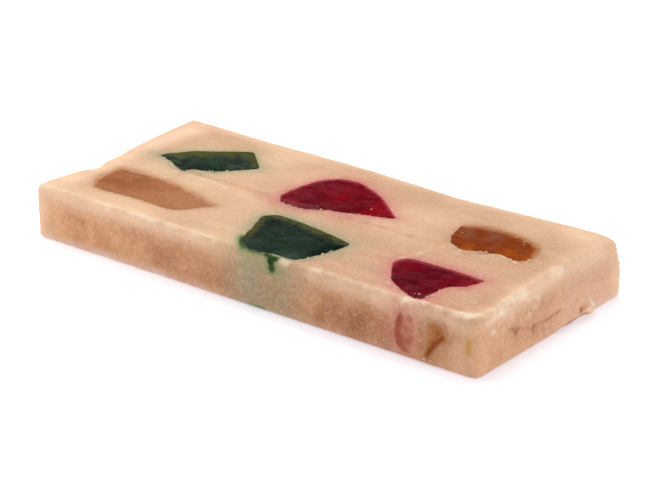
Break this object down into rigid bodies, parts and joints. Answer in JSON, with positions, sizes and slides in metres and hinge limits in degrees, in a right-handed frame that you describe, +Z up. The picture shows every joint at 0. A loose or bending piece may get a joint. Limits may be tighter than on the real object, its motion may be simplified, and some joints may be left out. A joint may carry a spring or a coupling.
{
  "type": "nougat bar",
  "caption": "Flat hand-cut bar of soft nougat paste with chunks of candied fruit that show cut flush in its top and its front side, lying flat.",
  "frame": {"origin": "under the middle of the bar, on the flat underside that it rests on", "axes": "+X along the bar towards the end with the rounded corners, +Y towards the back, away from the side where fruit shows, +Z up out of the cut top"},
  "size_m": [0.1726, 0.0762, 0.0185],
  "materials": {
    "nougat_paste": "moist, fine grained almond paste with sugar specks, stained near the fruit",
    "tan_fruit": "moist, slightly cloudy candied fruit",
    "green_fruit": "moist, dark translucent candied fruit",
    "red_fruit": "moist, dark translucent candied fruit",
    "amber_fruit": "moist, dark translucent candied fruit",
    "ochre_fruit": "candied fruit under a thin film of paste"
  },
  "bodies": {
    "root": {"nougat_paste": "nougat_paste", "tan_fruit": "tan_fruit", "green_fruit_back": "green_fruit", "green_fruit_front": "green_fruit", "red_fruit_back": "red_fruit", "red_fruit_front": "red_fruit", "amber_fruit_back": "amber_fruit", "amber_fruit_side": "amber_fruit", "ochre_fruit_corner": "ochre_fruit"}
  },
  "joints": []
}
